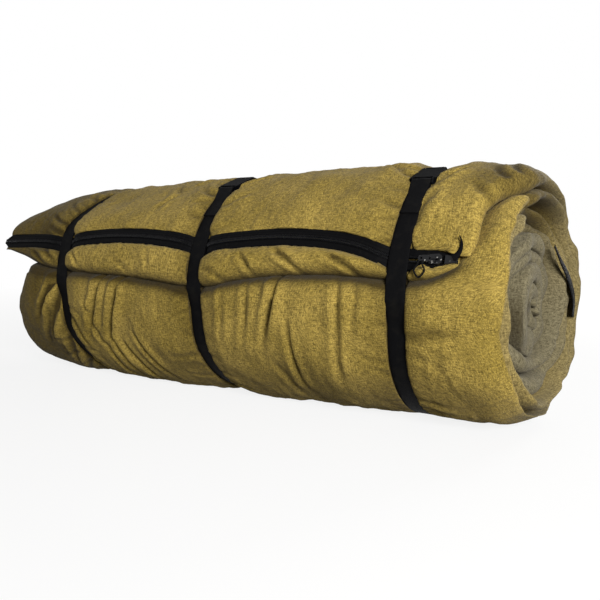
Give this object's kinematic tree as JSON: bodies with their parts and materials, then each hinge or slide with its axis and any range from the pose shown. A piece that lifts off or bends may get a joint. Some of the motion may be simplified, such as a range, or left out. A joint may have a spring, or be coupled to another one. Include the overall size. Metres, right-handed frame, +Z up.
{
  "type": "rolled sleeping bag",
  "caption": "Rectangular canvas sleeping bag with hollow-fibre filling, rolled up and held by webbing straps with side-release buckles, its zip across the front.",
  "frame": {"origin": "on the ground under the middle of the roll", "axes": "+X along the roll to the end where the zip's slider is, -Y to the front with the zip, +Z up"},
  "size_m": [0.8833, 0.3368, 0.3333],
  "materials": {
    "canvas": "matt cotton canvas",
    "filling": "hollow-fibre wadding",
    "lining": "brushed cotton",
    "zip_tape": "woven polyester tape",
    "zip_chain": "satin",
    "zip_metal": "worn black enamel",
    "webbing": "woven polypropylene",
    "buckle": "moulded acetal"
  },
  "bodies": {
    "bag": {"top_canvas": "canvas", "bottom_canvas": "canvas", "top_filling": "filling", "bottom_filling": "filling", "top_lining": "lining", "bottom_lining": "lining", "zip_tape_upper": "zip_tape", "zip_tape_lower": "zip_tape", "zip_chain_upper": "zip_chain", "zip_chain_lower": "zip_chain", "zip_stop": "zip_chain", "strap_left": "webbing", "strap_middle": "webbing", "strap_right": "webbing", "socket_left": "buckle", "socket_middle": "buckle", "socket_right": "buckle", "plug_left": "buckle", "plug_middle": "buckle", "plug_right": "buckle", "end_tape": "webbing"},
    "slider": {"zip_slider": "zip_metal"},
    "pull": {"pull_tab": "zip_metal", "pull_cord": "webbing"}
  },
  "joints": [
    {"name": "zip_slide", "type": "slide", "parent": "bag", "child": "slider", "axis": [-1, 0, 0], "range_m": [0, 0.02]},
    {"name": "pull_hinge", "type": "hinge", "parent": "slider", "child": "pull", "pos_m": [0.335, -0.15258, 0.22055], "axis": [0, 0.3502, 0.9367], "range_deg": [0, 165]}
  ]
}
